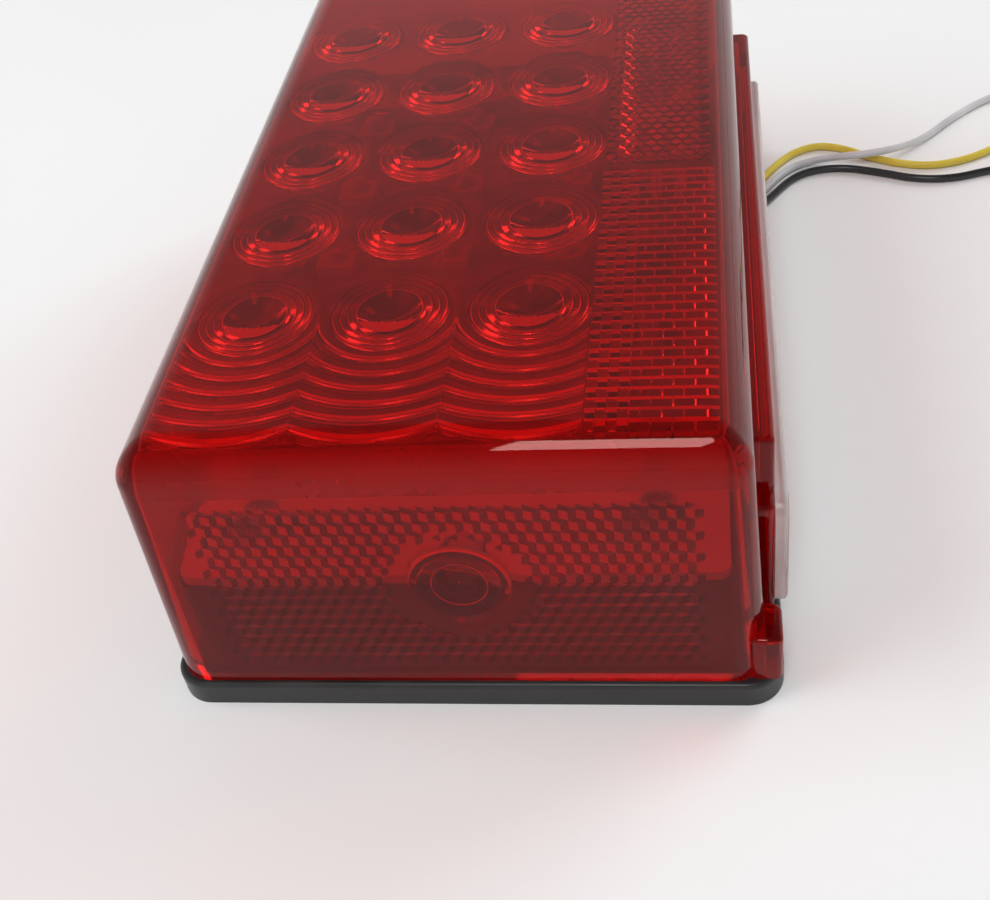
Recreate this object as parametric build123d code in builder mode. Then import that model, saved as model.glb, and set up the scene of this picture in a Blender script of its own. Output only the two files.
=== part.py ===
from build123d import *
from math import cos, pi, radians, sin, sqrt, tan
import os

# Combination trailer tail light, millimetres.
# The origin is the centre of the mounting back, midway between the two inserts.
# +Z is the way the main face shines, +X is the licence side, -Y is the side-marker end.

# ---- driving dimensions ----
lens_width = 90.0  # at its open edge
lens_length = 152.0
light_depth = 50.0  # mounting back to main face
lens_corner_radius = 5.0
lens_edge_radius = 4.2
lens_draft = 2.2  # degrees, all four walls
lens_wall = 2.5

rim_height = 4.5
rim_left, rim_right = -46.0, 47.6
rim_half_length = 77.0
rim_corner_radius = 5.5

step_out = 46.6  # outer face of the stepped licence side
step_half_length = 60.0
step_top = 37.5
seat_half_length = 63.0  # the lower tier that the clear window sits on
seat_top = 27.0
step_wall = 2.0
window_thickness = 2.0
window_bottom, window_top = 5.0, 26.5
opening_half_length = 57.0
opening_bottom, opening_top = 8.0, 23.5

tray_half_width, tray_half_length = 41.0, 72.0
tray_wall = 2.2
tray_top = 22.6
floor_bottom, floor_top = 9.0, 11.0
potting_recess = 2.5

insert_pitch = 50.8
insert_radius, insert_bore_radius, insert_length = 4.8, 3.2, 12.7
insert_boss_radius = 7.5
boss_cap = 1.8

board_thickness = 1.6
board_half_width, board_half_length = 40.3, 71.3
board_screw_x, board_screw_y = 60.0, 118.0
post_radius, pilot_radius = 3.2, 1.25
screw_length = 8.0

led_columns, led_rows = 3, 5
led_pitch_x, led_pitch_y = 20.8, 22.0
led_center = (-8.5, 2.1)
led_base, led_base_height = 7.6, 3.0
led_dome_radius, led_barrel = 2.4, 1.4

marker_x, marker_z = 2.0, 23.2
marker_radius, marker_flange_radius = 2.5, 2.9
marker_back, marker_tip = -63.0, -71.2

license_board_x = 36.0
license_z = 15.5
license_pitch = 36.0
license_board_half_length = 50.0
license_reflector_x, license_reflector_thickness = 42.6, 1.2

# ---- lead wires ----
wire_radius = 0.8
wire_pitch = 2.35
coil_center = (124.0, 78.0)
coil_mean_radius, coil_turn_pitch = 9.6, 1.7
coil_bottom, coil_height, coil_width = 0.5, 3.4, 5.2
lead_heading = 41.8  # degrees from +X, where the leads leave the grommet
tip_radius, tip_length, tip_droop = 0.55, 7.0, 12.0
lead_x, lead_y = 24.0, 24.0  # where the inner leads rise to the main board
inner_lead_foot = 5.0

yellow_route = [
    (31.94, 40.26, 1.1),
    (39.25, 46.8, 1.1),
    (46.5, 57.25, 1.0),
    (54.0, 71.0, 0.9),
    (61.0, 76.0, 0.8),
    (67.0, 74.6, 0.8),
    (73.0, 69.8, 0.8),
    (79.5, 66.2, 0.8),
    (87.0, 64.6, 0.8),
    (97.0, 68.2, 0.8),
    (109.4, 78.3, 1.1),
    (117.83, 85.35, 1.4),
]
white_route = [
    (33.5, 38.5, 1.1),
    (41.0, 45.2, 1.1),
    (48.5, 56.0, 1.0),
    (54.8, 66.8, 0.9),
    (62.0, 70.2, 0.9),
    (71.0, 67.4, 3.0),
    (78.4, 68.9, 3.0),
    (85.5, 76.0, 0.8),
    (93.0, 85.0, 0.8),
    (102.0, 92.6, 0.8),
    (110.8, 95.6, 0.9),
    (121.0, 92.8, 1.1),
    (129.65, 87.79, 1.4),
]
black_route = [
    (35.07, 36.75, 1.1),
    (42.75, 43.6, 1.1),
    (50.5, 54.75, 1.0),
    (57.0, 64.6, 0.9),
    (66.0, 66.6, 0.8),
    (74.8, 63.4, 0.8),
    (81.8, 60.0, 0.8),
    (89.5, 59.4, 0.8),
    (97.0, 61.8, 0.8),
    (106.0, 63.4, 1.0),
    (114.3, 70.2, 1.1),
    (116.1, 78.0, 1.4),
]

os.makedirs("parts", exist_ok=True)


def wall_at(z):
    """How far the lens wall has leaned in by height z."""
    return (z - rim_height) * tan(radians(lens_draft))


# ---- red lens: one moulding with the main face, four walls and the licence step ----
with BuildPart() as lens:
    with BuildSketch(Plane.XY.offset(rim_height)):
        RectangleRounded(lens_width, lens_length, lens_corner_radius)
    extrude(amount=light_depth - rim_height, taper=lens_draft)
    fillet(lens.faces().sort_by(Axis.Z)[-1].edges(), lens_edge_radius)
    offset(amount=-lens_wall, openings=lens.faces().sort_by(Axis.Z)[0])
    # The step starts inside the wall's thickness, and its outer face is upright.
    step_root = lens_width / 2 - wall_at(step_top) - 0.8
    with BuildSketch(Plane.YZ.offset(step_root)):
        with BuildLine():
            FilletPolyline(
                (-seat_half_length, rim_height),
                (-seat_half_length, seat_top),
                (-step_half_length, seat_top + 1.0),
                (-step_half_length, step_top),
                (step_half_length, step_top),
                (step_half_length, seat_top + 1.0),
                (seat_half_length, seat_top),
                (seat_half_length, rim_height),
                radius=1.0,
            )
            Line((seat_half_length, rim_height), (-seat_half_length, rim_height))
        make_face()
    extrude(amount=step_out - step_root)
    step_front = lens.faces().filter_by(Axis.X).sort_by(Axis.X)[-1]
    fillet(step_front.edges().filter_by(lambda e: e.center().Z > seat_top + 2.0), 0.9)
    # A foot beside the near corner of the licence side.
    with BuildSketch(Plane.XY.offset(rim_height)):
        with Locations((44.9, -71.8)):
            RectangleRounded(4.8, 7.4, 2.0)
    extrude(amount=8.5)
    # The licence opening runs through wall and step, and the step is cored above it.
    with BuildSketch(Plane.YZ.offset(license_board_x)):
        with Locations((0, (opening_bottom + opening_top) / 2)):
            Rectangle(2 * opening_half_length, opening_top - opening_bottom)
    extrude(amount=step_out - license_board_x, mode=Mode.SUBTRACT)
    with BuildSketch(Plane.YZ.offset(license_board_x)):
        with Locations((0, (seat_top + step_top) / 2 - 0.2)):
            Rectangle(2 * opening_half_length, step_top - seat_top - 2.4)
    extrude(amount=step_out - step_wall - license_board_x, mode=Mode.SUBTRACT)
lens.part.label = "lens"
export_step(lens.part, "parts/lens.step")

# ---- clear licence window, with a lip that locates in the opening ----
with BuildPart() as license_window:
    with BuildSketch(Plane.YZ.offset(step_out)):
        with Locations((0, (window_bottom + window_top) / 2)):
            RectangleRounded(2 * seat_half_length, window_top - window_bottom, 4.0)
    extrude(amount=window_thickness)
    fillet(license_window.faces().sort_by(Axis.X)[-1].edges(), 0.8)
    with BuildSketch(Plane.YZ.offset(step_out - step_wall / 2)):
        with Locations((0, (opening_bottom + opening_top) / 2)):
            Rectangle(2 * opening_half_length, opening_top - opening_bottom)
    extrude(amount=step_wall / 2)
    # The lip is a frame, so that the window stays one even thickness.
    with BuildSketch(Plane.YZ.offset(step_out - step_wall / 2)):
        with Locations((0, (opening_bottom + opening_top) / 2)):
            Rectangle(2 * opening_half_length - 3.0, opening_top - opening_bottom - 3.0)
    extrude(amount=step_wall / 2, mode=Mode.SUBTRACT)
license_window.part.label = "license_window"
export_step(license_window.part, "parts/license_window.step")

# ---- black housing: rim, tray walls, floor, bosses and posts ----
rim_center = (rim_left + rim_right) / 2
pocket_half_width = tray_half_width - tray_wall
pocket_half_length = tray_half_length - tray_wall
wire_channel_end = (53.4, 63.2)
with BuildPart() as housing:
    with BuildSketch():
        with Locations((rim_center, 0)):
            RectangleRounded(rim_right - rim_left, 2 * rim_half_length, rim_corner_radius)
    extrude(amount=rim_height)
    fillet(housing.faces().sort_by(Axis.Z)[-1].edges(), 0.8)
    with BuildSketch(Plane.XY.offset(rim_height)):
        RectangleRounded(2 * tray_half_width, 2 * tray_half_length, 3.0)
    extrude(amount=tray_top - rim_height)
    # Groove that takes the open edge of the lens and its seal.
    with BuildSketch(Plane.XY.offset(rim_height - 1.2)):
        RectangleRounded(lens_width, lens_length, lens_corner_radius)
        RectangleRounded(
            lens_width - 2 * lens_wall,
            lens_length - 2 * lens_wall,
            lens_corner_radius - lens_wall,
            mode=Mode.SUBTRACT,
        )
    extrude(amount=1.2, mode=Mode.SUBTRACT)
    for start, height in ((0, floor_bottom), (floor_top, tray_top - floor_top)):
        with BuildSketch(Plane.XY.offset(start)):
            RectangleRounded(2 * pocket_half_width, 2 * pocket_half_length, 2.0)
        extrude(amount=height, mode=Mode.SUBTRACT)
    # Insert bosses run from the back face through the floor, and are closed above.
    with BuildSketch():
        with GridLocations(0, insert_pitch, 1, 2):
            Circle(insert_boss_radius)
    extrude(amount=insert_length + boss_cap)
    with BuildSketch():
        with GridLocations(0, insert_pitch, 1, 2):
            Circle(insert_radius)
    extrude(amount=insert_length, mode=Mode.SUBTRACT)
    # Posts that the main board is screwed to.
    with BuildSketch(Plane.XY.offset(floor_top)):
        with GridLocations(board_screw_x, board_screw_y, 2, 2):
            Circle(post_radius)
    extrude(amount=tray_top - floor_top)
    with BuildSketch(Plane.XY.offset(tray_top)):
        with GridLocations(board_screw_x, board_screw_y, 2, 2):
            Circle(pilot_radius)
    extrude(amount=-screw_length, mode=Mode.SUBTRACT)
    # Slot for the licence lamps, and the seat of the marker lamp in the end wall.
    with BuildSketch(Plane.YZ.offset(license_board_x)):
        with Locations((0, license_z)):
            Rectangle(2 * license_board_half_length - 8, 8.0)
    extrude(amount=8.0, mode=Mode.SUBTRACT)
    with BuildSketch(Plane.XY.offset(tray_top)):
        with Locations((marker_x, -tray_half_length)):
            Rectangle(8.0, 8.0)
    extrude(amount=-4.0, mode=Mode.SUBTRACT)
    # Ledge ribs that the licence board stands between.
    for rib_y in (-license_board_half_length - 1.0, license_board_half_length + 1.0):
        with BuildSketch(Plane.XY.offset(floor_top)):
            with Locations((license_board_x + 0.4, rib_y)):
                Rectangle(5.6, 2.0)
        extrude(amount=8.0)
    # Slot in the floor for the inner leads, and the channel that the outer leads lie in.
    with BuildSketch(Plane.XY.offset(floor_bottom)):
        with Locations((lead_x, lead_y)):
            SlotOverall(10.0, 3.0)
    extrude(amount=floor_top - floor_bottom, mode=Mode.SUBTRACT)
    with BuildSketch():
        with BuildLine():
            Polyline((33.5, 38.5), (41.0, 45.2), (48.5, 56.0), wire_channel_end)
        trace(line_width=8.0)
    extrude(amount=2.8, mode=Mode.SUBTRACT)
housing.part.label = "housing"
export_step(housing.part, "parts/housing.step")

# ---- seal bead in the groove under the lens edge ----
with BuildPart() as lens_seal:
    with BuildSketch(Plane.XY.offset(rim_height - 1.2)):
        RectangleRounded(lens_width, lens_length, lens_corner_radius)
        RectangleRounded(
            lens_width - 2 * lens_wall,
            lens_length - 2 * lens_wall,
            lens_corner_radius - lens_wall,
            mode=Mode.SUBTRACT,
        )
    extrude(amount=1.2)
lens_seal.part.label = "lens_seal"
export_step(lens_seal.part, "parts/lens_seal.step")

# ---- brass inserts for the mounting bolts ----
with BuildPart() as threaded_inserts:
    with BuildSketch():
        with GridLocations(0, insert_pitch, 1, 2):
            Circle(insert_radius)
            Circle(insert_bore_radius, mode=Mode.SUBTRACT)
    extrude(amount=insert_length)
    mouths = threaded_inserts.edges().filter_by(GeomType.CIRCLE).group_by(Axis.Z)[0]
    chamfer(mouths.group_by(SortBy.RADIUS)[0], 0.4)
threaded_inserts.part.label = "threaded_inserts"
export_step(threaded_inserts.part, "parts/threaded_inserts.step")

# ---- rubber grommet that the leads leave the potting through ----
grommet_plane = Plane(
    origin=(white_route[0][0], white_route[0][1], 0.2),
    x_dir=(cos(radians(lead_heading)), sin(radians(lead_heading)), 0),
    z_dir=(0, 0, 1),
)
with BuildPart() as wire_grommet:
    with BuildSketch(grommet_plane):
        with Locations((-3.0, 0)):
            Rectangle(6.0, 8.4)
    extrude(amount=floor_bottom - 0.2)
    fillet(wire_grommet.edges().filter_by(Axis.Z).sort_by(Axis.X)[:2], 1.2)
wire_grommet.part.label = "wire_grommet"
export_step(wire_grommet.part, "parts/wire_grommet.step")

# ---- inner leads, from the potting up through the floor slot to the main board ----
with BuildPart() as inner_leads:
    with BuildSketch(Plane.XY.offset(inner_lead_foot)):
        with Locations((lead_x - wire_pitch, lead_y), (lead_x, lead_y), (lead_x + wire_pitch, lead_y)):
            Circle(wire_radius)
    extrude(amount=tray_top - inner_lead_foot)
inner_leads.part.label = "inner_leads"
export_step(inner_leads.part, "parts/inner_leads.step")

# ---- potting that fills the back of the tray, short of the mounting plane ----
with BuildPart() as potting:
    with BuildSketch(Plane.XY.offset(potting_recess)):
        RectangleRounded(2 * pocket_half_width, 2 * pocket_half_length, 2.0)
        with GridLocations(0, insert_pitch, 1, 2):
            Circle(insert_boss_radius, mode=Mode.SUBTRACT)
    extrude(amount=floor_bottom - potting_recess)
    add(wire_grommet.part, mode=Mode.SUBTRACT)
    add(inner_leads.part, mode=Mode.SUBTRACT)
potting.part.label = "potting"
export_step(potting.part, "parts/potting.step")

# ---- main circuit board ----
with BuildPart() as main_board:
    with BuildSketch(Plane.XY.offset(tray_top)):
        RectangleRounded(2 * board_half_width, 2 * board_half_length, 2.0)
        with Locations((marker_x, -board_half_length + 3.6)):
            Rectangle(6.4, 7.4 + 2.6, mode=Mode.SUBTRACT)
        with GridLocations(board_screw_x, board_screw_y, 2, 2):
            Circle(1.6, mode=Mode.SUBTRACT)
    extrude(amount=board_thickness)
main_board.part.label = "main_board"
export_step(main_board.part, "parts/main_board.step")
board_top = tray_top + board_thickness

with BuildPart() as board_screws:
    with BuildSketch(Plane.XY.offset(board_top)):
        with GridLocations(board_screw_x, board_screw_y, 2, 2):
            Circle(2.7)
    extrude(amount=1.9)
    fillet(board_screws.faces().sort_by(Axis.Z)[-4:].edges(), 0.7)
    with BuildSketch(Plane.XY.offset(board_top)):
        with GridLocations(board_screw_x, board_screw_y, 2, 2):
            Circle(pilot_radius)
    extrude(amount=-screw_length)
    with BuildSketch(Plane.XY.offset(board_top + 1.9)):
        with GridLocations(board_screw_x, board_screw_y, 2, 2):
            Rectangle(3.2, 0.7)
            Rectangle(0.7, 3.2)
    extrude(amount=-1.0, mode=Mode.SUBTRACT)
board_screws.part.label = "board_screws"
export_step(board_screws.part, "parts/board_screws.step")

# ---- main lamps: square-based, domed, on a grid ----
led_grid = GridLocations(led_pitch_x, led_pitch_y, led_columns, led_rows)
led_places = [(led_center[0] + p.position.X, led_center[1] + p.position.Y) for p in led_grid]
with BuildPart() as main_leds:
    with BuildSketch(Plane.XY.offset(board_top)):
        with Locations(*led_places):
            RectangleRounded(led_base, led_base, 0.8)
    extrude(amount=led_base_height)
    with BuildSketch(Plane.XY.offset(board_top + led_base_height)):
        with Locations(*led_places):
            Circle(led_dome_radius)
    extrude(amount=led_barrel)
    with Locations(*[(x, y, board_top + led_base_height + led_barrel) for x, y in led_places]):
        Sphere(led_dome_radius)
main_leds.part.label = "main_leds"
export_step(main_leds.part, "parts/main_leds.step")

# ---- marker lamp, lying in the notch of the board with its dome towards the end wall ----
with BuildPart() as marker_led:
    with BuildSketch(Plane.XY):
        dome_start = marker_tip + marker_radius
        with BuildLine():
            Polyline(
                (marker_x, dome_start),
                (marker_x, marker_back),
                (marker_x + marker_flange_radius, marker_back),
                (marker_x + marker_flange_radius, marker_back - 1.0),
                (marker_x + marker_radius, marker_back - 1.0),
                (marker_x + marker_radius, dome_start),
            )
            CenterArc((marker_x, dome_start), marker_radius, 0, -90)
            Line((marker_x, marker_tip), (marker_x, dome_start))
        make_face()
    revolve(axis=Axis((marker_x, 0, 0), (0, 1, 0)))
marker_led.part = marker_led.part.moved(Location((0, 0, marker_z)))
marker_led.part.label = "marker_led"
export_step(marker_led.part, "parts/marker_led.step")

# ---- licence board with its lamps, behind a white reflector plate ----
with BuildPart() as license_board:
    with BuildSketch(Plane.YZ.offset(license_board_x)):
        with Locations((0, (floor_top + tray_top - 0.6) / 2)):
            Rectangle(2 * license_board_half_length, tray_top - 0.6 - floor_top)
    extrude(amount=board_thickness)
license_board.part.label = "license_board"
export_step(license_board.part, "parts/license_board.step")

license_lamp_x = license_board_x + board_thickness
license_lamp_y = [-license_pitch, 0.0, license_pitch]
with BuildPart() as license_leds:
    with BuildSketch(Plane.YZ.offset(license_lamp_x)):
        with Locations(*[(y, license_z) for y in license_lamp_y]):
            Circle(marker_flange_radius)
    extrude(amount=1.0)
    with BuildSketch(Plane.YZ.offset(license_lamp_x + 1.0)):
        with Locations(*[(y, license_z) for y in license_lamp_y]):
            Circle(marker_radius)
    extrude(amount=2.9)
    with Locations(*[(license_lamp_x + 3.9, y, license_z) for y in license_lamp_y]):
        Sphere(marker_radius)
license_leds.part.label = "license_leds"
export_step(license_leds.part, "parts/license_leds.step")

with BuildPart() as license_reflector:
    with BuildSketch(Plane.YZ.offset(license_reflector_x)):
        with Locations((0, (opening_bottom + opening_top) / 2)):
            Rectangle(2 * opening_half_length, opening_top - opening_bottom)
        with Locations(*[(y, license_z) for y in license_lamp_y]):
            Circle(marker_radius + 0.4, mode=Mode.SUBTRACT)
    extrude(amount=license_reflector_thickness)
license_reflector.part.label = "license_reflector"
export_step(license_reflector.part, "parts/license_reflector.step")

# ---- driver components in the strip of the main board beside the lamps ----
component_x = 28.0
lead_size = 0.6


def axial_part(body_radius, body_length, lead_span, places):
    """Capped cylinders lying along Y on two square leads, one for each (x, y) place."""
    axis_z = board_top + body_radius + 0.4
    with BuildPart() as group:
        for x, y in places:
            with BuildSketch(Plane.XZ.offset(-y - body_length / 2)):
                with Locations((x, axis_z)):
                    Circle(body_radius)
            extrude(amount=body_length)
            with BuildSketch(Plane.YZ.offset(x - lead_size / 2)):
                with Locations((y, (board_top + axis_z + lead_size / 2) / 2)):
                    Rectangle(lead_span, axis_z + lead_size / 2 - board_top)
                with Locations((y, (board_top + axis_z - lead_size / 2) / 2)):
                    Rectangle(
                        lead_span - 2 * lead_size,
                        axis_z - lead_size / 2 - board_top,
                        mode=Mode.SUBTRACT,
                    )
            extrude(amount=lead_size)
    return group


resistors = axial_part(1.2, 6.4, 11.0, [(component_x - 4.0 + 4.5 * i, 22.0) for i in range(3)])
resistors.part.label = "resistors"
export_step(resistors.part, "parts/resistors.step")
diodes = axial_part(1.3, 4.2, 9.5, [(component_x - 3.0 + 6.0 * i, -22.0) for i in range(2)])
diodes.part.label = "diodes"
export_step(diodes.part, "parts/diodes.step")

with BuildPart() as capacitor:
    with BuildSketch(Plane.XY.offset(board_top)):
        with Locations((component_x, 40.0)):
            Circle(4.0)
    extrude(amount=9.0)
    fillet(capacitor.faces().sort_by(Axis.Z)[-1].edges(), 0.6)
capacitor.part.label = "capacitor"
export_step(capacitor.part, "parts/capacitor.step")

with BuildPart() as regulator:
    with BuildSketch(Plane.XY.offset(board_top)):
        with Locations((component_x, -2.0)):
            Rectangle(6.6, 6.2)
    extrude(amount=2.3)
    chamfer(regulator.faces().sort_by(Axis.Z)[-1].edges(), 0.3)
    with BuildSketch(Plane.XY.offset(board_top)):
        with Locations((component_x, 3.0)):
            Rectangle(5.4, 3.8)
        with Locations((component_x - 2.3, -6.4), (component_x + 2.3, -6.4)):
            Rectangle(0.9, 2.6)
    extrude(amount=0.6)
regulator.part.label = "regulator"
export_step(regulator.part, "parts/regulator.step")

# ---- pins that link the licence board to the main board ----
with BuildPart() as board_pins:
    for y in (-7.5, -2.5, 2.5, 7.5):
        with BuildSketch(Plane.XY.offset(tray_top - 6.0)):
            with Locations((license_board_x - 0.4, y)):
                Rectangle(0.8, 0.8)
        extrude(amount=6.0)
board_pins.part.label = "board_pins"
export_step(board_pins.part, "parts/board_pins.step")


# ---- free lead wires, straight runs joined by arcs as large as each pair of runs allows ----
for name, route in (
    ("yellow_wire", yellow_route),
    ("white_wire", white_route),
    ("black_wire", black_route),
):
    points = [Vector(*place) for place in route]
    runs = [after - before for before, after in zip(points, points[1:])]
    radii = []
    for before, after in zip(runs, runs[1:]):
        half_turn = radians(before.get_angle(after)) / 2
        radii.append(0.45 * min(before.length, after.length) / tan(half_turn))
    with BuildPart() as wire:
        with BuildLine() as wire_path:
            FilletPolyline(*points, radius=radii)
        with BuildSketch(Plane(origin=points[0], z_dir=runs[0])):
            Circle(wire_radius)
        sweep()
    wire.part.label = name
    export_step(wire.part, f"parts/{name}.step")
    path_length = wire_path.wires()[0].length
    print(name, "radii", [round(radius, 1) for radius in radii])
    print(name, "length", round(path_length, 1), "volume", round(wire.part.volume, 1))
    print(name, "section times length", round(pi * wire_radius**2 * path_length, 1))

# ---- the rest of the three leads, wound together: one ring of their outer shape ----
with BuildPart() as wire_coil:
    with BuildSketch(Plane.XY.offset(coil_bottom)):
        with Locations(coil_center):
            Circle(coil_mean_radius + coil_width / 2)
            Circle(coil_mean_radius - coil_width / 2, mode=Mode.SUBTRACT)
    extrude(amount=coil_height)
    fillet(wire_coil.edges(), 0.95)
wire_coil.part.label = "wire_coil"
export_step(wire_coil.part, "parts/wire_coil.step")

# ---- tie wrapped round the ring's section at its near side ----
tie_margin = 0.45
tie_half_angle = 8.0
with BuildPart() as coil_tie:
    with BuildSketch(Plane.YZ.offset(coil_center[0])):
        with Locations((coil_center[1] - coil_mean_radius, coil_bottom + coil_height / 2)):
            RectangleRounded(coil_width + 2 * tie_margin, coil_height + 2 * tie_margin, 1.3)
            RectangleRounded(coil_width, coil_height, 0.95, mode=Mode.SUBTRACT)
    revolve(axis=Axis((*coil_center, 0), (0, 0, 1)), revolution_arc=2 * tie_half_angle)
coil_tie.part.label = "coil_tie"
export_step(coil_tie.part, "parts/coil_tie.step")

# ---- stripped and tinned ends, leaving the ring side by side along its tangent ----
tip_radii = [coil_mean_radius - coil_turn_pitch, coil_mean_radius, coil_mean_radius + coil_turn_pitch]
coil_outer_radius = coil_mean_radius + coil_width / 2
with BuildPart() as wire_tips:
    for ring_radius in tip_radii:
        reach = sqrt(coil_outer_radius**2 - ring_radius**2)
        tip_plane = Plane(
            origin=(coil_center[0] + ring_radius, coil_center[1] - reach, coil_bottom + 2.6),
            z_dir=(0, -cos(radians(tip_droop)), -sin(radians(tip_droop))),
        )
        with BuildSketch(tip_plane):
            Circle(tip_radius)
        extrude(amount=tip_length)
wire_tips.part.label = "wire_tips"
export_step(wire_tips.part, "parts/wire_tips.step")
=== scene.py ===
import math

import bmesh
import bpy
from mathutils import Matrix, Vector


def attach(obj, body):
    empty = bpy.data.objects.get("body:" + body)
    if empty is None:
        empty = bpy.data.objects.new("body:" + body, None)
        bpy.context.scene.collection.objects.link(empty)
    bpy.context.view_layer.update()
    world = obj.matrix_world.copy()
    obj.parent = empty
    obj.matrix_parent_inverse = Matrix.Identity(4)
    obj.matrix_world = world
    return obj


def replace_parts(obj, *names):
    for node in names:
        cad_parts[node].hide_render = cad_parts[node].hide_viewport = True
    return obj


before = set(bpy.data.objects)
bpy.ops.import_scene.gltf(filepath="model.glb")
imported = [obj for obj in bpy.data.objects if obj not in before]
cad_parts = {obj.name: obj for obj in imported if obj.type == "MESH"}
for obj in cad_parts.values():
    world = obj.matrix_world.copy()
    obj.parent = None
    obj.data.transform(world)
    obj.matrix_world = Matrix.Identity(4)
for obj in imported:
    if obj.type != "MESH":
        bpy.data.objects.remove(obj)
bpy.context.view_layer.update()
scene = bpy.context.scene

MM = 0.001  # sizes below are in millimetres, and Blender's are in metres


def mm(x, y, z):
    return Vector((x, y, z)) * MM


# ---- driving dimensions, in millimetres ----
# They are the CAD's, apart from the lens's rounded edges and its crown: the CAD lens has a 4.2 mm edge.
lens_half_width, lens_half_length = 45.0, 76.0
lens_bottom, lens_top = 4.5, 50.0
lens_corner, lens_edge = 5.0, 6.0
inner_edge, inner_edge_height = 1.7, 6.5
lens_draft = math.tan(math.radians(2.2))
lens_wall = 2.5
lens_crown = 0.3  # how far the main face falls from its middle to its long sides
ceiling = lens_top - lens_wall

step_out, step_half_length, step_top = 46.6, 60.0, 37.5
seat_half_length, seat_top = 63.0, 27.0
step_edge, step_corner = 0.9, 1.0
step_root, cavity_root = 41.5, 40.0  # X where the step and its hollows start, inside the wall
opening_out = 50.0  # past the outer face of the step
opening_half_length, opening_bottom, opening_top = 57.0, 8.0, 23.5
step_cavity_out, step_cavity_bottom, step_cavity_top = 44.6, 28.0, 36.1
foot_low, foot_high = (42.5, -75.5, lens_bottom), (47.3, -68.1, 13.0)
foot_corner, foot_edge = 1.2, 0.8

led_center = (-8.5, 2.1)
led_pitch_x, led_pitch_y = 20.8, 22.0
led_columns, led_rows = 3, 5
marker_x, marker_z = 2.0, 23.2

wire_radius = 0.8
coil_center = (124.0, 78.0)
coil_rim = 12.2
coil_low, coil_high = 1.35, 3.1
tip_radius, tip_length, tip_droop = 0.55, 7.0, 12.0

yellow_route = [
    (31.94, 40.26, 1.1),
    (39.25, 46.8, 1.1),
    (46.5, 57.25, 1.0),
    (54.0, 71.0, 0.9),
    (61.0, 76.0, 0.8),
    (67.0, 74.6, 0.8),
    (73.0, 69.8, 0.8),
    (79.5, 66.2, 0.8),
    (87.0, 64.6, 0.8),
    (97.0, 68.2, 0.8),
    (109.4, 78.3, 1.1),
    (117.83, 85.35, 1.4),
]
white_route = [
    (33.5, 38.5, 1.1),
    (41.0, 45.2, 1.1),
    (48.5, 56.0, 1.0),
    (54.8, 66.8, 0.9),
    (62.0, 70.2, 0.9),
    (71.0, 67.4, 3.0),
    (78.4, 68.9, 3.0),
    (85.5, 76.0, 0.8),
    (93.0, 85.0, 0.8),
    (102.0, 92.6, 0.8),
    (110.8, 95.6, 0.9),
    (121.0, 92.8, 1.1),
    (129.65, 87.79, 1.4),
]
black_route = [
    (35.07, 36.75, 1.1),
    (42.75, 43.6, 1.1),
    (50.5, 54.75, 1.0),
    (57.0, 64.6, 0.9),
    (66.0, 66.6, 0.8),
    (74.8, 63.4, 0.8),
    (81.8, 60.0, 0.8),
    (89.5, 59.4, 0.8),
    (97.0, 61.8, 0.8),
    (106.0, 63.4, 1.0),
    (114.3, 70.2, 1.1),
    (116.1, 78.0, 1.4),
]


# ---- camera, floor and lights ----
camera_place = (39.171, -198.92, 167.158)
camera_angles = (-12.814, 42.449, -10.171)  # yaw, pitch and roll, in degrees
camera_lens = 49.48


def add_camera():
    yaw, pitch, roll = (math.radians(angle) for angle in camera_angles)
    ahead = Vector((math.sin(yaw) * math.cos(pitch), math.cos(yaw) * math.cos(pitch), -math.sin(pitch)))
    level = ahead.cross(Vector((0, 0, 1))).normalized()
    above = level.cross(ahead)
    right = level * math.cos(roll) + above * math.sin(roll)
    up = above * math.cos(roll) - level * math.sin(roll)
    data = bpy.data.cameras.new("camera")
    data.sensor_width = 36.0
    data.lens = camera_lens
    data.clip_start, data.clip_end = 0.01, 20.0
    camera = bpy.data.objects.new("camera", data)
    scene.collection.objects.link(camera)
    turn = Matrix((right, up, -ahead)).transposed().to_4x4()
    camera.matrix_world = Matrix.Translation(mm(*camera_place)) @ turn
    scene.camera = camera


def add_area_light(name, place, target, size, power, reflected=True):
    data = bpy.data.lights.new(name, "AREA")
    data.shape = "RECTANGLE"
    data.size, data.size_y = size
    data.energy = power
    light = bpy.data.objects.new(name, data)
    light.visible_glossy = reflected
    scene.collection.objects.link(light)
    place = Vector(place)
    turn = (place - Vector(target)).to_track_quat("Z", "Y").to_matrix().to_4x4()
    light.matrix_world = Matrix.Translation(place) @ turn


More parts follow.
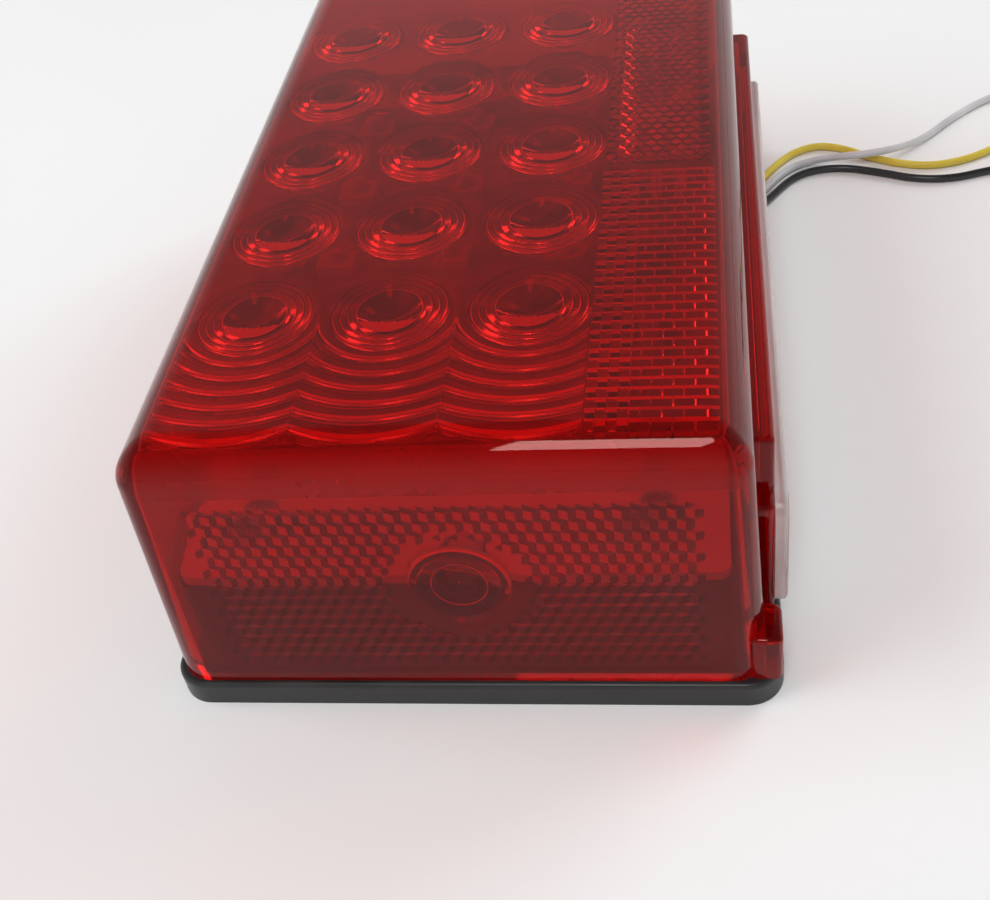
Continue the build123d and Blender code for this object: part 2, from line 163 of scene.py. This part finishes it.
def add_studio():
    """A pale horizon under a darker ceiling, one small lamp and two wide ones that no gloss reflects."""
    world = bpy.data.worlds.new("studio")
    world.use_nodes = True
    tree = world.node_tree
    coords = tree.nodes.new("ShaderNodeTexCoord")
    split = tree.nodes.new("ShaderNodeSeparateXYZ")
    ramp = tree.nodes.new("ShaderNodeValToRGB")
    ramp.color_ramp.elements[0].position, ramp.color_ramp.elements[0].color = 0.0, (0.95, 0.95, 0.95, 1.0)
    ramp.color_ramp.elements[1].position, ramp.color_ramp.elements[1].color = 0.8, (0.18, 0.18, 0.18, 1.0)
    tree.links.new(coords.outputs["Generated"], split.inputs["Vector"])
    tree.links.new(split.outputs["Z"], ramp.inputs["Fac"])
    tree.links.new(ramp.outputs["Color"], tree.nodes["Background"].inputs["Color"])
    scene.world = world
    scene.view_settings.view_transform = "Standard"
    add_area_light("overhead", (-0.05, -0.60, 1.1), (0.0, 0.0, 0.0), (0.24, 0.45), 3.6)
    add_area_light("left_softbox", (-1.6, -0.3, 1.3), (0.0, 0.0, 0.0), (1.6, 1.6), 24.0, reflected=False)
    add_area_light("right_softbox", (1.2, 1.2, 1.0), (0.0, 0.0, 0.0), (1.0, 1.0), 15.0, reflected=False)


def add_floor(material):
    bm = bmesh.new()
    half, cuts = 9.0, 12  # half the side, in metres
    ticks = [half * (2 * k / cuts - 1) for k in range(cuts + 1)]
    grid = [[bm.verts.new((x, y, 0.0)) for x in ticks] for y in ticks]
    for low, high in zip(grid, grid[1:]):
        for i in range(cuts):
            bm.faces.new((low[i], low[i + 1], high[i + 1], high[i]))
    mesh = bpy.data.meshes.new("floor")
    bm.to_mesh(mesh)
    bm.free()
    mesh.materials.append(material)
    floor = bpy.data.objects.new("floor", mesh)
    scene.collection.objects.link(floor)


# ---- materials ----
def noise(tree, scale, detail=3.0, stretch=(1.0, 1.0, 1.0)):
    """A noise value that follows the object; scale is in cycles a metre."""
    coords = tree.nodes.new("ShaderNodeTexCoord")
    mapping = tree.nodes.new("ShaderNodeMapping")
    mapping.inputs["Scale"].default_value = stretch
    texture = tree.nodes.new("ShaderNodeTexNoise")
    texture.inputs["Scale"].default_value = scale
    texture.inputs["Detail"].default_value = detail
    tree.links.new(coords.outputs["Object"], mapping.inputs["Vector"])
    tree.links.new(mapping.outputs["Vector"], texture.inputs["Vector"])
    return texture.outputs["Fac"]


def spread(tree, value, low, high):
    """value's middle range, stretched over low to high."""
    node = tree.nodes.new("ShaderNodeMapRange")
    node.inputs["From Min"].default_value = 0.3
    node.inputs["From Max"].default_value = 0.7
    node.inputs["To Min"].default_value = low
    node.inputs["To Max"].default_value = high
    tree.links.new(value, node.inputs["Value"])
    return node.outputs["Result"]


def tint(tree, value, dark, light):
    ramp = tree.nodes.new("ShaderNodeValToRGB")
    ramp.color_ramp.elements[0].position = 0.3
    ramp.color_ramp.elements[1].position = 0.7
    ramp.color_ramp.elements[0].color = (*dark, 1.0)
    ramp.color_ramp.elements[1].color = (*light, 1.0)
    tree.links.new(value, ramp.inputs["Fac"])
    return ramp.outputs["Color"]


def bump(tree, shader, value, strength, distance):
    node = tree.nodes.new("ShaderNodeBump")
    node.inputs["Strength"].default_value = strength
    node.inputs["Distance"].default_value = distance
    tree.links.new(value, node.inputs["Height"])
    tree.links.new(node.outputs["Normal"], shader.inputs["Normal"])


def surface(name, dark, light, roughness, grain=900.0, relief=0.2, depth=0.00006, mottle=120.0,
            stretch=(1.0, 1.0, 1.0), **sockets):
    """A material with colour, roughness and bump from noise; sockets sets the shader's own numbers."""
    material = bpy.data.materials.new(name)
    material.use_nodes = True
    tree = material.node_tree
    shader = tree.nodes["Principled BSDF"]
    for socket, value in sockets.items():
        shader.inputs[socket.replace("_", " ")].default_value = value
    patches = noise(tree, mottle, 4.0, stretch)
    grains = noise(tree, grain, 2.0, stretch)
    tree.links.new(tint(tree, patches, dark, light), shader.inputs["Base Color"])
    tree.links.new(spread(tree, patches, *roughness), shader.inputs["Roughness"])
    bump(tree, shader, grains, relief, depth)
    return material


def board_material():
    """Pale at the side-marker end, and a mottled darker colour from there on."""
    material = surface("board_mask", (0.07, 0.066, 0.06), (0.34, 0.32, 0.30), (0.30, 0.45), mottle=75.0)
    tree = material.node_tree
    shader = tree.nodes["Principled BSDF"]
    coords = tree.nodes.new("ShaderNodeTexCoord")
    split = tree.nodes.new("ShaderNodeSeparateXYZ")
    edge = tree.nodes.new("ShaderNodeMapRange")
    edge.inputs["From Min"].default_value, edge.inputs["From Max"].default_value = -0.052, -0.046
    mix = tree.nodes.new("ShaderNodeMix")
    mix.data_type = "RGBA"
    mix.inputs["A"].default_value = (0.78, 0.77, 0.74, 1.0)
    mask = shader.inputs["Base Color"].links[0].from_socket
    tree.links.new(coords.outputs["Object"], split.inputs["Vector"])
    tree.links.new(split.outputs["Y"], edge.inputs["Value"])
    tree.links.new(edge.outputs["Result"], mix.inputs["Factor"])
    tree.links.new(mask, mix.inputs["B"])
    tree.links.new(mix.outputs["Result"], shader.inputs["Base Color"])
    return material


def let_lamps_through(material, color):
    """Shadow rays pass straight through, so that the lamps light what is behind the plastic."""
    tree = material.node_tree
    shader = tree.nodes["Principled BSDF"]
    output = tree.nodes["Material Output"]
    path = tree.nodes.new("ShaderNodeLightPath")
    clear = tree.nodes.new("ShaderNodeBsdfTransparent")
    clear.inputs["Color"].default_value = (*color, 1.0)
    mix = tree.nodes.new("ShaderNodeMixShader")
    tree.links.new(path.outputs["Is Shadow Ray"], mix.inputs["Fac"])
    tree.links.new(shader.outputs["BSDF"], mix.inputs[1])
    tree.links.new(clear.outputs["BSDF"], mix.inputs[2])
    tree.links.new(mix.outputs["Shader"], output.inputs["Surface"])
    return material


def red_plastic(name, dark, light, transmission, roughness):
    material = surface(name, dark, light, roughness, grain=60.0, relief=0.05, depth=0.0001, mottle=40.0,
                       Transmission_Weight=transmission, IOR=1.40, Specular_Tint=(1.0, 0.55, 0.52, 1.0))
    return let_lamps_through(material, (0.82, 0.15, 0.13))


# The lens is one plastic. Its optics have brighter facets, pale lines of painted highlight, grooves of
# painted shade and deep domes in painted shade, and its inner edge at the side-marker end has a painted
# glow.
PLAIN, FACET, PAINTED_HIGHLIGHT, PAINTED_SHADE, DOME_PAINTED_SHADE, PAINTED_GLOW = range(6)
lens_finishes = [
    red_plastic("red_acrylic", (0.42, 0.004, 0.004), (0.54, 0.007, 0.006), 0.91, (0.01, 0.03)),
    red_plastic("red_acrylic_facet", (0.42, 0.005, 0.005), (0.54, 0.008, 0.007), 0.88, (0.06, 0.12)),
    # painted highlight: a paler, more diffuse copy of the red plastic
    red_plastic("red_acrylic_lit", (0.90, 0.030, 0.028), (1.0, 0.060, 0.050), 0.50, (0.15, 0.25)),
    # painted shade: a near-black copy of the red plastic
    red_plastic("red_acrylic_groove", (0.030, 0.001, 0.001), (0.060, 0.002, 0.002), 0.95, (0.05, 0.10)),
    # painted shade: a darker copy of the red plastic for the domes
    red_plastic("red_acrylic_dome", (0.18, 0.003, 0.003), (0.26, 0.004, 0.004), 0.93, (0.01, 0.03)),
    # painted glow: a paler, more diffuse copy of the red plastic for the inner edge
    red_plastic("red_acrylic_glow", (0.34, 0.002, 0.001), (0.46, 0.003, 0.002), 0.55, (0.20, 0.35)),
]
clear_acrylic = let_lamps_through(
    surface("clear_acrylic", (0.66, 0.68, 0.67), (0.86, 0.87, 0.86), (0.06, 0.20), grain=160.0, relief=0.35,
            depth=0.0003, mottle=90.0, stretch=(1.0, 0.25, 1.0), Transmission_Weight=0.62, IOR=1.45),
    (0.93, 0.93, 0.93))

node_materials = {
    "license_window": clear_acrylic,
    "housing": surface("black_abs", (0.010, 0.010, 0.011), (0.020, 0.020, 0.021), (0.30, 0.46),
                       grain=1400.0),
    "potting": surface("potting_epoxy", (0.008, 0.008, 0.009), (0.022, 0.022, 0.023), (0.12, 0.38),
                       grain=70.0, relief=0.3, depth=0.0002, mottle=60.0),
    "threaded_inserts": surface("brass", (0.62, 0.42, 0.17), (0.78, 0.57, 0.26), (0.20, 0.38), grain=1500.0,
                                Metallic=1.0),
    "lens_seal": surface("seal_bead", (0.20, 0.012, 0.012), (0.32, 0.02, 0.018), (0.25, 0.45)),
    "main_board": board_material(),
    "license_board": surface("white_solder_mask_side", (0.72, 0.72, 0.70), (0.82, 0.82, 0.80),
                             (0.30, 0.45)),
    "main_leds": surface("led_epoxy", (0.34, 0.33, 0.29), (0.50, 0.48, 0.43), (0.06, 0.16),
                         Coat_Weight=0.6),
    "license_leds": surface("led_epoxy_side", (0.66, 0.65, 0.58), (0.80, 0.79, 0.72), (0.06, 0.16),
                            Coat_Weight=0.6),
    "marker_led": surface("red_led_epoxy", (0.45, 0.02, 0.02), (0.62, 0.04, 0.03), (0.06, 0.16),
                          Coat_Weight=0.6),
    "license_reflector": surface("reflector_plastic", (0.70, 0.71, 0.71), (0.80, 0.81, 0.81), (0.18, 0.34)),
    "resistors": surface("resistor_coating", (0.36, 0.26, 0.15), (0.52, 0.40, 0.25), (0.35, 0.55)),
    "diodes": surface("diode_case", (0.012, 0.012, 0.013), (0.03, 0.03, 0.032), (0.30, 0.50)),
    "capacitor": surface("capacitor_sleeve", (0.015, 0.02, 0.05), (0.03, 0.04, 0.09), (0.18, 0.32)),
    "regulator": surface("regulator_case", (0.014, 0.014, 0.015), (0.03, 0.03, 0.031), (0.40, 0.60)),
    "board_screws": surface("zinc_steel", (0.50, 0.51, 0.53), (0.68, 0.69, 0.71), (0.22, 0.40),
                            Metallic=1.0),
    "board_pins": surface("tinned_pins", (0.62, 0.62, 0.61), (0.78, 0.78, 0.77), (0.22, 0.40),
                          Metallic=1.0),
    "inner_leads": surface("inner_insulation", (0.02, 0.02, 0.02), (0.05, 0.05, 0.05), (0.40, 0.60)),
    "wire_grommet": surface("grommet_rubber", (0.012, 0.012, 0.012), (0.03, 0.03, 0.03), (0.50, 0.70)),
    "coil_tie": surface("tie_nylon", (0.015, 0.015, 0.015), (0.035, 0.035, 0.035), (0.30, 0.50)),
}
insulation = {
    "yellow": surface("yellow_pvc", (0.66, 0.50, 0.045), (0.82, 0.66, 0.09), (0.25, 0.42)),
    "white": surface("white_pvc", (0.52, 0.52, 0.54), (0.68, 0.68, 0.70), (0.25, 0.42)),
    "black": surface("black_pvc", (0.010, 0.010, 0.011), (0.022, 0.022, 0.024), (0.22, 0.38)),
}
tinned_copper = surface("tinned_copper", (0.55, 0.52, 0.48), (0.74, 0.71, 0.66), (0.25, 0.42), Metallic=1.0)
floor_material = surface("floor_paper", (0.90, 0.90, 0.90), (0.92, 0.92, 0.92), (0.80, 0.90), mottle=8.0)


# ---- pieces ----
def add_piece(name, data, materials):
    for material in materials:
        data.materials.append(material)
    piece = bpy.data.objects.new(name, data)
    scene.collection.objects.link(piece)
    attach(piece, "root")
    return piece


def mesh_piece(name, bm, materials, sharp=35.0):
    mesh = bpy.data.meshes.new(name)
    bm.to_mesh(mesh)
    bm.free()
    mesh.shade_smooth()
    mesh.set_sharp_from_angle(angle=math.radians(sharp))
    return add_piece(name, mesh, materials)


# ---- lead wires ----
def coil_turns(radius, start):
    """Clockwise from start, in degrees, to 0 a turn or more on, while one layer climbs onto the other."""
    climb_from, climb_to, step = -90.0, -140.0, 15.0
    count = round((start + 360.0) / step)
    points = []
    for k in range(1, count + 1):
        angle = start - k * (start + 360.0) / count
        share = min(max((angle - climb_from) / (climb_to - climb_from), 0.0), 1.0)
        z = coil_low + (coil_high - coil_low) * share * share * (3 - 2 * share)
        turn = math.radians(angle)
        x = coil_center[0] + radius * math.cos(turn)
        y = coil_center[1] + radius * math.sin(turn)
        points.append((x, y, z))
    return points


def add_wire(color, route, radius, start):
    """One lead: its route, its turns in the coil, and the straight end that its bare tip continues."""
    end_y = coil_center[1] - math.sqrt(coil_rim ** 2 - radius ** 2)
    turns = coil_turns(radius, start)
    middle = (coil_center[0] + radius, (coil_center[1] + end_y) / 2, coil_high)
    end = (coil_center[0] + radius, end_y, coil_high)
    points = [mm(*p) for p in [*route, *turns, middle, end]]
    curve = bpy.data.curves.new(f"{color}_lead", "CURVE")
    curve.dimensions = "3D"
    curve.bevel_depth = wire_radius * MM
    curve.bevel_resolution = 4
    curve.resolution_u = 8
    curve.use_fill_caps = True
    spline = curve.splines.new("NURBS")
    spline.points.add(len(points) - 1)
    for place, point in zip(spline.points, points):
        place.co = (*point, 1.0)
    spline.order_u = 3
    spline.use_endpoint_u = True
    lead = add_piece(f"{color}_lead", curve, [insulation[color]])
    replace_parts(lead, f"{color}_wire", "wire_coil")
    return lead, Vector(end)


def add_tip(color, start):
    """The bare end of a lead: seven tinned strands, lightly twisted, drooping a little."""
    bm = bmesh.new()
    strands, sides, steps = 7, 8, 14
    strand = tip_radius / 3
    droop = math.radians(tip_droop)
    along = Vector((0.0, -math.cos(droop), -math.sin(droop)))
    side = Vector((1.0, 0.0, 0.0))
    up = side.cross(along)
    for s in range(strands):
        rings = []
        for k in range(steps + 1):
            run = tip_length * k / steps
            turn = 2 * math.pi * (s / 6 + 0.55 * k / steps)
            off = 0.0 if s == 6 else 2 * strand
            middle = start + along * run + (side * math.cos(turn) + up * math.sin(turn)) * off
            ring = []
            for j in range(sides):
                a = 2 * math.pi * j / sides
                ring.append(bm.verts.new((middle + (side * math.cos(a) + up * math.sin(a)) * strand) * MM))
            rings.append(ring)
        for low, high in zip(rings, rings[1:]):
            for j in range(sides):
                n = (j + 1) % sides
                bm.faces.new((low[j], low[n], high[n], high[j]))
        bm.faces.new(rings[0])
        bm.faces.new(rings[-1])
    bmesh.ops.recalc_face_normals(bm, faces=bm.faces)
    tip = mesh_piece(f"{color}_tip", bm, [tinned_copper])
    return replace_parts(tip, "wire_tips")


def add_leads():
    for color, route, radius, start, length in (
        ("yellow", yellow_route, 9.6, 130.0, 0.201),
        ("white", white_route, 11.3, 60.0, 0.210),
        ("black", black_route, 7.9, 180.0, 0.187),
    ):
        lead, end = add_wire(color, route, radius, start)
        tip = add_tip(color, end)


# ---- red lens ----
def loop(center_x, center_y, half_x, half_y, radius, z, steps=6):
    """A rounded rectangle's points, anticlockwise seen from above."""
    points = []
    for corner, (sx, sy) in enumerate(((1, 1), (-1, 1), (-1, -1), (1, -1))):
        for k in range(steps + 1):
            a = math.pi / 2 * (corner + k / steps)
            points.append(mm(center_x + sx * (half_x - radius) + radius * math.cos(a),
                             center_y + sy * (half_y - radius) + radius * math.sin(a), z))
    return points


def block(low, high, corner, edge, lean=0.0, steps=6, edge_height=None):
    """A closed block with rounded corners, leaning walls and a rounded top edge, as a temporary object."""
    edge_height = edge_height or edge
    bm = bmesh.new()
    center_x, center_y = (low[0] + high[0]) / 2, (low[1] + high[1]) / 2
    half_x, half_y = (high[0] - low[0]) / 2, (high[1] - low[1]) / 2
    loops = [loop(center_x, center_y, half_x, half_y, corner, low[2])]
    for k in range(steps + 1):
        a = math.pi / 2 * k / steps
        z = high[2] - edge_height * (1 - math.sin(a))
        fall = edge * (1 - math.cos(a))
        inset = lean * (z - low[2]) + fall
        radius = max(corner - lean * (z - low[2]) - 0.35 * fall, 0.15)
        loops.append(loop(center_x, center_y, half_x - inset, half_y - inset, radius, z))
    rings = [[bm.verts.new(p) for p in points] for points in loops]
    for lower, upper in zip(rings, rings[1:]):
        for k in range(len(lower)):
            n = (k + 1) % len(lower)
            bm.faces.new((lower[k], lower[n], upper[n], upper[k]))
    bm.faces.new(rings[0][::-1])
    bm.faces.new(rings[-1])
    mesh = bpy.data.meshes.new("block")
    bm.to_mesh(mesh)
    bm.free()
    part = bpy.data.objects.new("block", mesh)
    scene.collection.objects.link(part)
    return part


def combined(base, steps):
    """base with each (operation, block) carried out, as a bmesh; the blocks are removed."""
    for operation, part in steps:
        modifier = base.modifiers.new("combine", "BOOLEAN")
        modifier.operation = operation
        modifier.solver = "EXACT"
        modifier.object = part
    depsgraph = bpy.context.evaluated_depsgraph_get()
    bm = bmesh.new()
    bm.from_object(base, depsgraph)
    for part in [base, *(part for _, part in steps)]:
        bpy.data.objects.remove(part)
    return bm


def lens_shell():
    """The lens with plain inner faces: drafted shell, licence-side step, window seat and foot."""
    body = block((-lens_half_width, -lens_half_length, lens_bottom),
                 (lens_half_width, lens_half_length, lens_top),
                 lens_corner, lens_edge, lens_draft, steps=8)
    inner_x, inner_y = lens_half_width - lens_wall, lens_half_length - lens_wall
    below = 1.0  # the cavity starts under the open edge
    cavity = block((-inner_x - below * lens_draft, -inner_y - below * lens_draft, lens_bottom - below),
                   (inner_x + below * lens_draft, inner_y + below * lens_draft, ceiling),
                   lens_corner - lens_wall, inner_edge, lens_draft, steps=8, edge_height=inner_edge_height)
    step = block((step_root, -step_half_length, lens_bottom), (step_out, step_half_length, step_top),
                 step_corner, step_edge)
    seat = block((step_root, -seat_half_length, lens_bottom), (step_out, seat_half_length, seat_top),
                 step_corner, step_edge)
    foot = block(foot_low, foot_high, foot_corner, foot_edge)
    hollow_edge = 0.3
    step_cavity = block((cavity_root, -opening_half_length, step_cavity_bottom),
                        (step_cavity_out, opening_half_length, step_cavity_top), hollow_edge, hollow_edge)
    opening = block((cavity_root, -opening_half_length, opening_bottom),
                    (opening_out, opening_half_length, opening_top), hollow_edge, hollow_edge)
    return combined(body, [("UNION", step), ("UNION", seat), ("UNION", foot), ("DIFFERENCE", cavity),
                           ("DIFFERENCE", step_cavity), ("DIFFERENCE", opening)])


def on_ceiling(u, v, depth):
    return mm(u, v, ceiling - depth)


def on_end_wall(u, v, depth):
    """u is X, v is height; the inner face of the side-marker end."""
    return mm(u, depth - (lens_half_length - lens_wall) + (v - lens_bottom) * lens_draft, v)


def add_bullseye(bm, place, center, profile, painted_crescent_below=None, sides=48):
    """Rings about center, from (radius, depth, finish) rows that start at radius 0.
    With a crescent distance given, dome faces whose outer edge is more than that far below center take the
    painted highlight, a painted lit crescent."""
    rings = []
    for radius, depth, _ in profile[1:]:
        rings.append([bm.verts.new(place(center[0] + radius * math.cos(2 * math.pi * k / sides),
                                         center[1] + radius * math.sin(2 * math.pi * k / sides), depth))
                      for k in range(sides)])
    hub = bm.verts.new(place(*center, profile[0][1]))
    for k in range(sides):
        n = (k + 1) % sides
        bm.faces.new((hub, rings[0][k], rings[0][n])).material_index = profile[1][2]
        for (inner, outer), row in zip(zip(rings, rings[1:]), profile[2:]):
            face = bm.faces.new((inner[k], outer[k], outer[n], inner[n]))
            # dome faces on the near side of each dome get the painted highlight crescent
            shines = painted_crescent_below and row[2] == DOME_PAINTED_SHADE and row[0] * math.sin(2 * math.pi * (k + 0.5) / sides) < -painted_crescent_below
            face.material_index = PAINTED_HIGHLIGHT if shines else row[2]


def add_arcs(bm, place, center, left, right, radii, rise, cuts=36):
    """Saw-tooth arcs on the -v side of center, left and right of it; every second one is shallow."""
    profile = []
    for index, near in enumerate(radii[:-1]):
        # each tooth's steep rise takes the painted highlight and its back the painted shade
        if index % 2:
            profile += [(near, 0.0, FACET), (near + 0.2, 0.4 * rise, FACET),
                        (near + 0.35, 0.35 * rise, PAINTED_SHADE)]
        else:
            profile += [(near, 0.0, FACET), (near + 0.3, rise, PAINTED_HIGHLIGHT), (near + 0.6, 0.9 * rise, PAINTED_SHADE)]
    profile.append((radii[-1], 0.0, FACET))
    shares = [-1.0, *(-0.995 + 1.99 * k / cuts for k in range(cuts + 1)), 1.0]
    rows = []
    for radius, depth, _ in profile:
        row = []
        for share in shares:
            across = share * (left if share < 0 else right)
            fall = math.sqrt(max(radius ** 2 - across ** 2, 0.0))
            relief = 0.0 if abs(share) == 1.0 else depth
            row.append(bm.verts.new(place(center[0] + across, center[1] - fall, relief)))
        rows.append(row)
    for near, far, (_, _, finish) in zip(rows, rows[1:], profile[1:]):
        for k in range(len(shares) - 1):
            bm.faces.new((near[k], near[k + 1], far[k + 1], far[k])).material_index = finish


def add_cube_corners(bm, place, low, high, spacing, rise, gap=None):
    """A lattice at three depths whose hexagons are cube corners; gap is a round opening (u, v, radius)."""
    lattice, flat = {}, {}
    reach = int(max(high[0] - low[0], high[1] - low[1]) / spacing) + 2
    middle = ((low[0] + high[0]) / 2, (low[1] + high[1]) / 2)
    for i in range(-reach, reach + 1):
        for j in range(-reach, reach + 1):
            u = middle[0] + spacing * math.cos(math.pi / 6) * (i + j)
            v = middle[1] + spacing * (i - j) / 2
            if not (low[0] <= u <= high[0] and low[1] <= v <= high[1]):
                continue
            if gap and math.hypot(u - gap[0], v - gap[1]) < gap[2]:
                continue
            vert = bm.verts.new(place(u, v, rise * (2, 1, 0)[(i - j) % 3]))
            lattice[i, j] = vert
            flat[vert] = place(u, v, 0.0)
    for i, j in list(lattice):
        for keys in (((i, j), (i + 1, j), (i, j + 1)), ((i, j), (i, j + 1), (i - 1, j + 1))):
            if all(key in lattice for key in keys):
                face = bm.faces.new([lattice[key] for key in keys])
                deep, _, shallow = sorted(keys, key=lambda key: (key[0] - key[1]) % 3)
                run_u = (deep[0] + deep[1]) - (shallow[0] + shallow[1])
                # the three facet directions take the rougher, plain and painted-shade finishes: one facet
                # of each corner carries painted shade
                face.material_index = {0: FACET, 1: PLAIN, -1: PAINTED_SHADE}[(run_u > 0) - (run_u < 0)]
    for vert, place_flat in flat.items():
        if not vert.link_faces:
            bm.verts.remove(vert)
        elif vert.is_boundary:
            vert.co = place_flat


def add_bricks(bm, place, low, size, columns, rows, inset, rise, checker_columns):
    """Rows of raised bricks, every second row half a brick along, each with a painted highlight on its +v
    side.
    The first checker_columns half-bricks of each row are a checker of deep and shallow ones; the deep ones
    carry painted shade."""
    half = size[0] / 2
    corners = {}

    def corner(i, j):
        if (i, j) not in corners:
            corners[i, j] = bm.verts.new(place(low[0] + i * half, low[1] + j * size[1], 0.0))
        return corners[i, j]

    for j in range(rows):
        i = 0
        while i < 2 * columns:
            checked = i < checker_columns
            width = 1 if checked or (j % 2 and i in (checker_columns, 2 * columns - 1)) else 2
            width = min(width, 2 * columns - i)
            outline = [corner(i + k, j) for k in range(width + 1)]
            outline += [corner(i + k, j + 1) for k in range(width, -1, -1)]
            depth = (2.0 * rise if (i + j) % 2 else 0.25 * rise) if checked else rise
            u0, u1 = low[0] + i * half + inset[0], low[0] + (i + width) * half - inset[0]
            v0, v1 = low[1] + j * size[1] + inset[1], low[1] + (j + 1) * size[1] - inset[1]
            near = [place(u0 + (u1 - u0) * k / width, v0, depth) for k in range(width + 1)]
            far = [place(u0 + (u1 - u0) * k / width, v1, depth) for k in range(width, -1, -1)]
            top = [bm.verts.new(p) for p in near + far]
            # deep checker bricks take painted shade on top
            bm.faces.new(top).material_index = PAINTED_SHADE if checked and (i + j) % 2 else PLAIN
            for k in range(len(top)):
                n = (k + 1) % len(top)
                side = bm.faces.new((outline[k], outline[n], top[n], top[k]))
                # the +v side of each brick takes the painted highlight
                side.material_index = PAINTED_HIGHLIGHT if width < k < 2 * width + 1 else FACET
            i += width


def open_face(bm, test):
    """Takes out the faces whose corners all pass test, and leaves their outline open."""
    faces = [f for f in bm.faces if all(test(v.co / MM) for v in f.verts)]
    bmesh.ops.delete(bm, geom=faces, context="FACES")


def fill_open(bm, normal):
    edges = [e for e in bm.edges if e.is_boundary]
    bmesh.ops.triangle_fill(bm, edges=edges, use_beauty=True, use_dissolve=False, normal=normal)


def add_main_optics(bm):
    """Inside the main face: a bullseye over each lamp, arcs below the first row, two reflex panels."""
    dome_radius, dome_rise = 4.9, 1.5
    # the dome is in painted shade, with a painted highlight crescent on its near side
    dome = [(r, dome_rise * (1 - (r / dome_radius) ** 2), DOME_PAINTED_SHADE)
            for r in (0.0, 0.8, 1.6, 2.1, 2.6, 3.1, 3.6, 4.1, 4.5, dome_radius)]
    # each ring has a line of painted highlight and a groove of painted shade
    rings = [(5.05, 0.1, PAINTED_HIGHLIGHT), (5.2, 0.5, PAINTED_SHADE), (6.3, 0.0, FACET), (6.45, 0.3, PAINTED_HIGHLIGHT),
             (6.6, 0.3, PAINTED_SHADE), (7.4, 0.0, FACET), (7.55, 0.3, PAINTED_HIGHLIGHT), (7.7, 0.3, PAINTED_SHADE), (8.5, 0.0, FACET),
             (8.7, 0.4, PAINTED_HIGHLIGHT), (8.9, 0.4, PAINTED_SHADE), (9.6, 0.0, PLAIN)]
    for i in range(led_columns):
        for j in range(led_rows):
            center = (led_center[0] + (i - 1) * led_pitch_x, led_center[1] + (j - 2) * led_pitch_y)
            add_bullseye(bm, on_ceiling, center, dome + rings, painted_crescent_below=2.2)
    first_row = led_center[1] - 2 * led_pitch_y
    arc_radii = [10.6 + 1.58 * k for k in range(12)]
    for i in range(led_columns):
        center = (led_center[0] + (i - 1) * led_pitch_x, first_row)
        left, right = (9.7 if i == 0 else 10.39), (9.0 if i == 2 else 10.39)
        add_arcs(bm, on_ceiling, center, left, right, arc_radii, 0.5)
    add_bricks(bm, on_ceiling, (21.5, -68.9), (2.9, 2.05), 6, 30, (0.16, 0.28), 0.55, 4)
    add_cube_corners(bm, on_ceiling, (21.5, -6.0), (38.6, 68.0), 1.2, 0.32)


def add_end_optics(bm):
    """Inside the side-marker end: cube corners round the marker lamp's own optic."""
    marker = (marker_x, marker_z)
    dome_radius, dome_rise, clear_radius = 6.0, 1.6, 9.2
    add_cube_corners(bm, on_end_wall, (-36.0, 5.5), (37.5, 39.8), 2.4 / math.sqrt(3), 0.3,
                     (*marker, clear_radius))
    # the marker's dome and rings are mostly painted shade, with rings of painted highlight
    dome = [(r, dome_rise * (1 - (r / dome_radius) ** 2), finish) for r, finish in (
        (0.0, PAINTED_SHADE), (1.2, PAINTED_SHADE), (2.4, PAINTED_SHADE), (2.6, FACET), (3.2, PAINTED_SHADE), (4.0, PAINTED_SHADE), (4.2, PAINTED_HIGHLIGHT),
        (5.1, PAINTED_SHADE), (dome_radius, PAINTED_SHADE))]
    rings = [(6.2, 0.7, PAINTED_SHADE), (7.2, 0.0, PLAIN), (7.4, 0.5, PAINTED_HIGHLIGHT), (8.3, 0.0, FACET)]
    add_bullseye(bm, on_end_wall, marker, dome + rings)


def add_lens():
    flush = 0.005  # a face this near a plane lies in it
    painted_glow_from, painted_glow_to = -73.0, -69.0  # Y of the rounded inner edge at the side-marker end, where a painted glow goes
    crown_foot, crown_climb, crown_reach = 30.0, 18.0, 42.0
    bm = lens_shell()
    for x in range(-40, 41, 8):
        everything = [*bm.verts, *bm.edges, *bm.faces]
        bmesh.ops.bisect_plane(bm, geom=everything, dist=1e-7, plane_co=mm(x, 0, 0), plane_no=(1, 0, 0))
    bmesh.ops.remove_doubles(bm, verts=bm.verts, dist=1e-6)
    for face in bm.faces:
        middle = face.calc_center_median() / MM
        on_edge = ceiling - inner_edge_height < middle.z < ceiling - 0.01
        # faces on that inner edge take the painted glow
        if on_edge and painted_glow_from < middle.y < painted_glow_to:
            face.material_index = PAINTED_GLOW
    open_face(bm, lambda p: abs(p.z - ceiling) < flush)
    add_main_optics(bm)
    fill_open(bm, (0, 0, 1))
    open_face(bm, lambda p: abs(p.y - on_end_wall(p.x, p.z, 0.0).y / MM) < flush)
    add_end_optics(bm)
    fill_open(bm, (0, 1, 0))
    bmesh.ops.recalc_face_normals(bm, faces=bm.faces)
    for v in bm.verts:
        height = min(max((v.co.z / MM - crown_foot) / crown_climb, 0.0), 1.0)
        v.co.z -= lens_crown * MM * (v.co.x / MM / crown_reach) ** 2 * height
    lens = mesh_piece("red_lens", bm, lens_finishes)
    modifier = lens.modifiers.new("normals", "WEIGHTED_NORMAL")
    modifier.keep_sharp = True
    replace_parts(lens, "lens")


def dress_nodes():
    for name, material in node_materials.items():
        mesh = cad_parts[name].data
        mesh.materials.clear()
        mesh.materials.append(material)


add_camera()
add_studio()
add_floor(floor_material)
dress_nodes()
add_leads()
add_lens()
